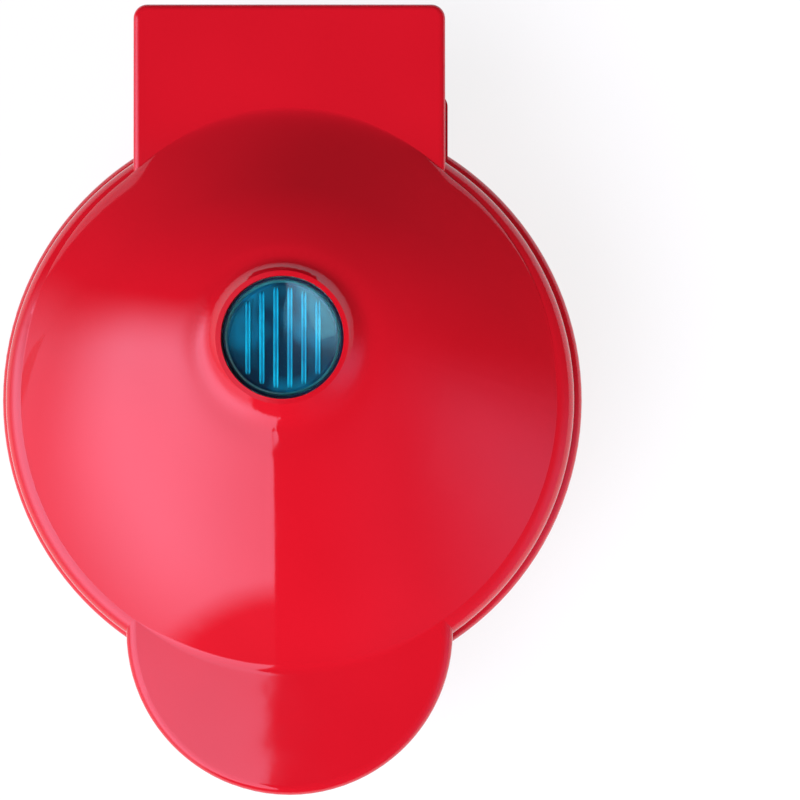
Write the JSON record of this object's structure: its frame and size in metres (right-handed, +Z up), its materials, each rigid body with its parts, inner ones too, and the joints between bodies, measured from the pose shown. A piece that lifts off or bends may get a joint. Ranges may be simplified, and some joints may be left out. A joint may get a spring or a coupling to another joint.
{
  "type": "mini waffle maker",
  "caption": "Round countertop waffle cooker: domed lid with a blue indicator lens, front handle and rear hinge over a low base with two heated plates.",
  "frame": {"origin": "on the table, on the axis of the round body, under the middle of the footprint", "axes": "+Z up, +Y towards the hinge, so the front handle points along -Y; +X to the right as seen from above with the handle at the bottom"},
  "size_m": [0.127, 0.1688, 0.0691],
  "materials": {
    "red_shell": "glossy",
    "non_stick": "satin non-stick coat",
    "element_steel": "matt",
    "screw_steel": "zinc plated",
    "pin_steel": "polished",
    "bush_plastic": "smooth",
    "shield_aluminium": "bright rolled",
    "foot_rubber": "matt",
    "black_plastic": "fine grain",
    "thermostat_ceramic": "matt",
    "strap_steel": "rolled",
    "fuse_steel": "rolled",
    "insert_brass": "machined",
    "white_plastic": "smooth",
    "blue_lens": "glossy, tinted",
    "lamp_glass": "clear",
    "connector_ceramic": "matt",
    "harness_sleeve": "silicone sleeve",
    "lamp_lead": "silicone",
    "heat_lead": "silicone on glass braid"
  },
  "bodies": {
    "base": {"base_shell": "red_shell", "bottom_cover": "black_plastic", "bottom_cover_screws": "screw_steel", "foot_front_left": "foot_rubber", "foot_front_right": "foot_rubber", "foot_rear_left": "foot_rubber", "foot_rear_right": "foot_rubber", "lower_plate": "non_stick", "lower_element": "element_steel", "lower_heat_shield": "shield_aluminium", "lower_plate_screws": "screw_steel", "hinge_pin_left": "pin_steel", "hinge_pin_right": "pin_steel", "wire_cover": "black_plastic", "cord_inlet_bush": "black_plastic", "thermostat": "thermostat_ceramic", "thermostat_strap": "strap_steel", "thermostat_screws": "screw_steel", "thermal_fuse": "fuse_steel", "fuse_clip": "strap_steel", "fuse_clip_screw": "screw_steel", "terminal_block": "black_plastic", "terminal_inserts": "insert_brass", "terminal_screws": "screw_steel", "lead_supply": "heat_lead", "lead_link": "heat_lead", "lead_fused": "heat_lead", "lead_return": "heat_lead", "base_harness": "harness_sleeve"},
    "lid": {"lid_shell": "red_shell", "lid_frame": "black_plastic", "lid_frame_screws": "screw_steel", "upper_plate": "non_stick", "upper_element": "element_steel", "upper_heat_shield": "shield_aluminium", "upper_plate_screws": "screw_steel", "hinge_bush_left": "bush_plastic", "hinge_bush_right": "bush_plastic", "indicator_lens": "blue_lens", "lens_retainer": "white_plastic", "lens_retainer_screws": "screw_steel", "lamp_cup": "white_plastic", "pilot_lamp": "lamp_glass", "lid_connector": "connector_ceramic", "lid_lead_right": "heat_lead", "lid_lead_left": "heat_lead", "lamp_leads": "lamp_lead", "lid_harness": "harness_sleeve"}
  },
  "joints": [
    {"name": "lid_hinge", "type": "hinge", "parent": "base", "child": "lid", "pos_m": [0, 0.0735, 0.036], "axis": [-1, 0, 0], "range_deg": [0, 98]}
  ]
}
